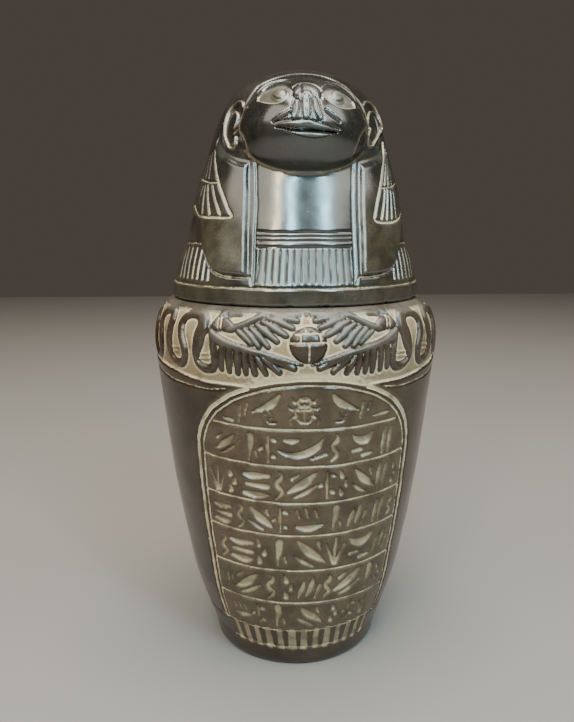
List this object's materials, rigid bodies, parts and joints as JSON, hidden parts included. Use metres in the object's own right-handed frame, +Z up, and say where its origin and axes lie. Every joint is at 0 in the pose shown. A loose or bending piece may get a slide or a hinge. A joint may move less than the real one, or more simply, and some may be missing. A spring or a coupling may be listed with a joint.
{
  "type": "canopic jar",
  "caption": "Souvenir canopic jar of polished black stone: a hollow tapering jar with carved shoulder band and panel, and a lift-off lid carved as a baboon-headed bust.",
  "frame": {"origin": "centre of the jar's flat underside, on the surface that it stands on", "axes": "+Z up the jar's axis to the top of the head, -Y out of the face and the carved panel, +X to the right of someone looking at the face"},
  "size_m": [0.122, 0.1234, 0.25],
  "materials": {
    "jar_stone": "polished, with pale dust left in the carving",
    "lid_stone": "polished, with pale dust left in the carving"
  },
  "bodies": {
    "root": {"jar": "jar_stone", "lid": "lid_stone"}
  },
  "joints": []
}
